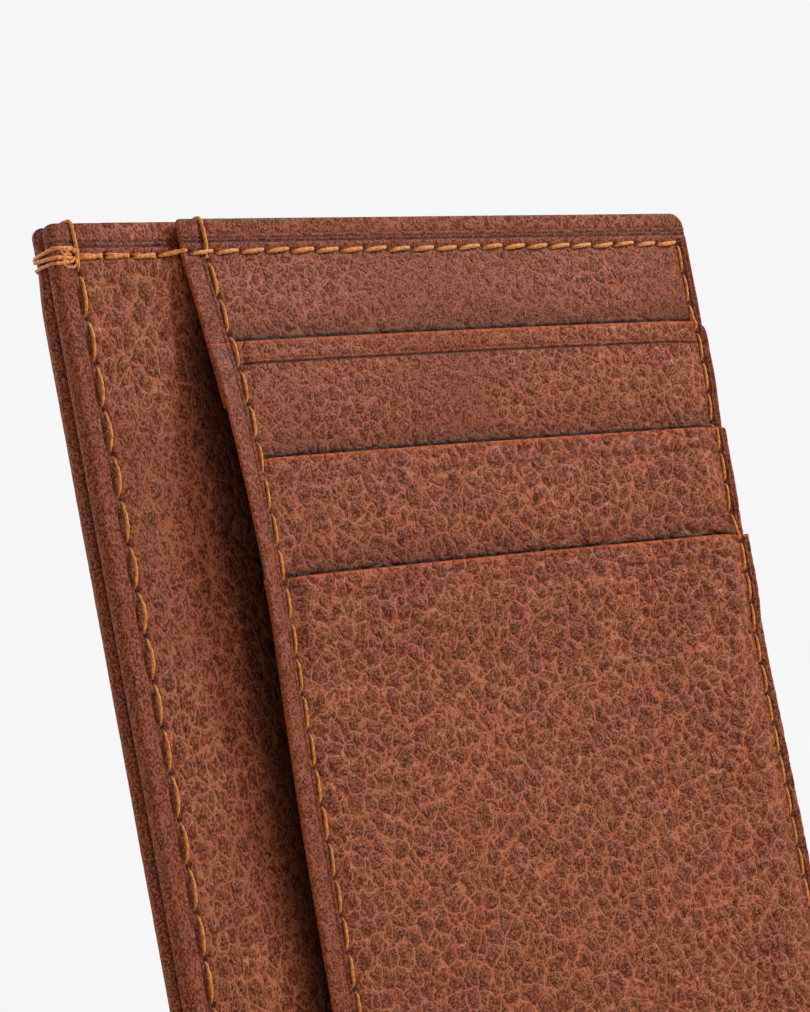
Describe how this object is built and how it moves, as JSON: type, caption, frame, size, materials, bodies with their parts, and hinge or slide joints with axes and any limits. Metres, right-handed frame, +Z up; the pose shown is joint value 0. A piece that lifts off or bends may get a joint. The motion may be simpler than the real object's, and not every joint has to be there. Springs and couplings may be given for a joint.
{
  "type": "card wallet",
  "caption": "Slim upright leather card wallet with card pockets that open at the top, flat side pockets behind them and contrast stitching.",
  "frame": {"origin": "middle of the bottom edge, at the middle of the wallet's depth", "axes": "+Z up towards the card pockets' mouths, -Y the front with the card pockets, +X the sewn right side; the side pockets open towards -X"},
  "size_m": [0.0806, 0.006, 0.1093],
  "materials": {
    "leather": "satin",
    "pocket_leather": "satin",
    "lining": "matte",
    "thread": "satin"
  },
  "bodies": {
    "root": {"back_panel": "leather", "divider_panel": "leather", "top_band": "pocket_leather", "upper_pocket": "pocket_leather", "middle_pocket": "pocket_leather", "front_pocket": "pocket_leather", "back_lining": "lining", "divider_lining": "lining", "card_backing": "lining", "upper_pocket_tail": "lining", "middle_pocket_tail": "lining", "perimeter_thread_front": "thread", "perimeter_thread_back": "thread", "card_edge_thread_front": "thread", "card_edge_thread_back": "thread", "divider_edge_thread_front": "thread", "divider_edge_thread_back": "thread", "back_edge_thread_front": "thread", "back_edge_thread_back": "thread", "upper_pocket_floor_thread": "thread", "middle_pocket_floor_thread": "thread", "top_corner_tack": "thread", "bottom_corner_tack": "thread"}
  },
  "joints": []
}
